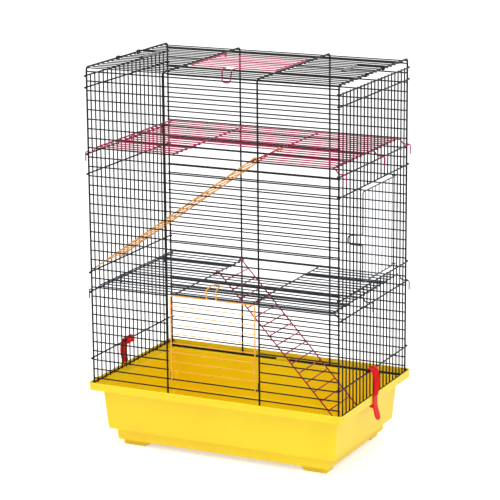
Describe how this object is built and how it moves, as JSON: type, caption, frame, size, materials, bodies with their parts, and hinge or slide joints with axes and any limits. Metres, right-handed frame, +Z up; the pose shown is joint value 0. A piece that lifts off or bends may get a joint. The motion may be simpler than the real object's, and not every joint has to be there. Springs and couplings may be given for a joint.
{
  "type": "ferret cage",
  "caption": "Tall wire pet cage with hinged wire doors, hook-in shelves and ladders, folding handles and a moulded litter tray held by side clips.",
  "frame": {"origin": "on the floor, under the middle of the cage", "axes": "+Z up, -Y is the front with the low door, +X the end wall with the side door"},
  "size_m": [0.613, 0.376, 0.8307],
  "materials": {
    "black_enamel": "gloss",
    "crimson_enamel": "gloss",
    "red_enamel": "gloss",
    "slate_enamel": "gloss",
    "amber_enamel": "gloss",
    "tray_plastic": "satin",
    "clip_plastic": "gloss",
    "grip_plastic": "satin"
  },
  "bodies": {
    "cage": {"tray": "tray_plastic", "front_grille": "black_enamel", "back_grille": "black_enamel", "roof_grille": "black_enamel", "left_side_grille": "black_enamel", "right_side_grille": "black_enamel"},
    "front_door": {"front_door": "amber_enamel"},
    "roof_door": {"roof_door": "red_enamel"},
    "side_door": {"side_door": "slate_enamel"},
    "upper_shelf": {"upper_shelf": "crimson_enamel"},
    "upper_ladder": {"upper_ladder": "amber_enamel"},
    "lower_shelf": {"lower_shelf": "slate_enamel"},
    "lower_ladder": {"lower_ladder": "crimson_enamel"},
    "right_clip": {"right_clip": "clip_plastic"},
    "left_clip": {"left_clip": "clip_plastic"},
    "right_handle": {"right_handle": "black_enamel", "right_handle_grip": "grip_plastic"},
    "left_handle": {"left_handle": "black_enamel", "left_handle_grip": "grip_plastic"}
  },
  "joints": [
    {"name": "front_door_hinge", "type": "hinge", "parent": "cage", "child": "front_door", "pos_m": [0, -0.176, 0.1735], "axis": [1, 0, 0], "range_deg": [0, 140]},
    {"name": "roof_door_hinge", "type": "hinge", "parent": "cage", "child": "roof_door", "pos_m": [0, 0.09, 0.82], "axis": [-1, 0, 0], "range_deg": [0, 155]},
    {"name": "side_door_hinge", "type": "hinge", "parent": "cage", "child": "side_door", "pos_m": [0.285, 0.1074, 0.492], "axis": [0, 0, 1], "range_deg": [0, 155]},
    {"name": "upper_shelf_lift", "type": "slide", "parent": "cage", "child": "upper_shelf", "axis": [0, 0, 1], "range_m": [0, 0.022]},
    {"name": "lower_shelf_lift", "type": "slide", "parent": "cage", "child": "lower_shelf", "axis": [0, 0, 1], "range_m": [0, 0.015]},
    {"name": "upper_ladder_hook", "type": "hinge", "parent": "upper_shelf", "child": "upper_ladder", "pos_m": [0.0895, -0.09845, 0.65437], "axis": [0, 1, 0], "range_deg": [0, 2.5]},
    {"name": "lower_ladder_hook", "type": "hinge", "parent": "lower_shelf", "child": "lower_ladder", "pos_m": [-0.0895, 0.082, 0.35787], "axis": [0, -1, 0], "range_deg": [0, 2.5]},
    {"name": "right_clip_swing", "type": "hinge", "parent": "cage", "child": "right_clip", "pos_m": [0.2878, -0.0179, 0.1975], "axis": [0, -1, 0], "range_deg": [0, 50]},
    {"name": "left_clip_swing", "type": "hinge", "parent": "cage", "child": "left_clip", "pos_m": [-0.2878, -0.0179, 0.1975], "axis": [0, 1, 0], "range_deg": [0, 50]},
    {"name": "right_handle_fold", "type": "hinge", "parent": "cage", "child": "right_handle", "pos_m": [0.284, 0, 0.823], "axis": [0, 1, 0], "range_deg": [0, 230]},
    {"name": "left_handle_fold", "type": "hinge", "parent": "cage", "child": "left_handle", "pos_m": [-0.284, 0, 0.823], "axis": [0, -1, 0], "range_deg": [0, 230]}
  ]
}
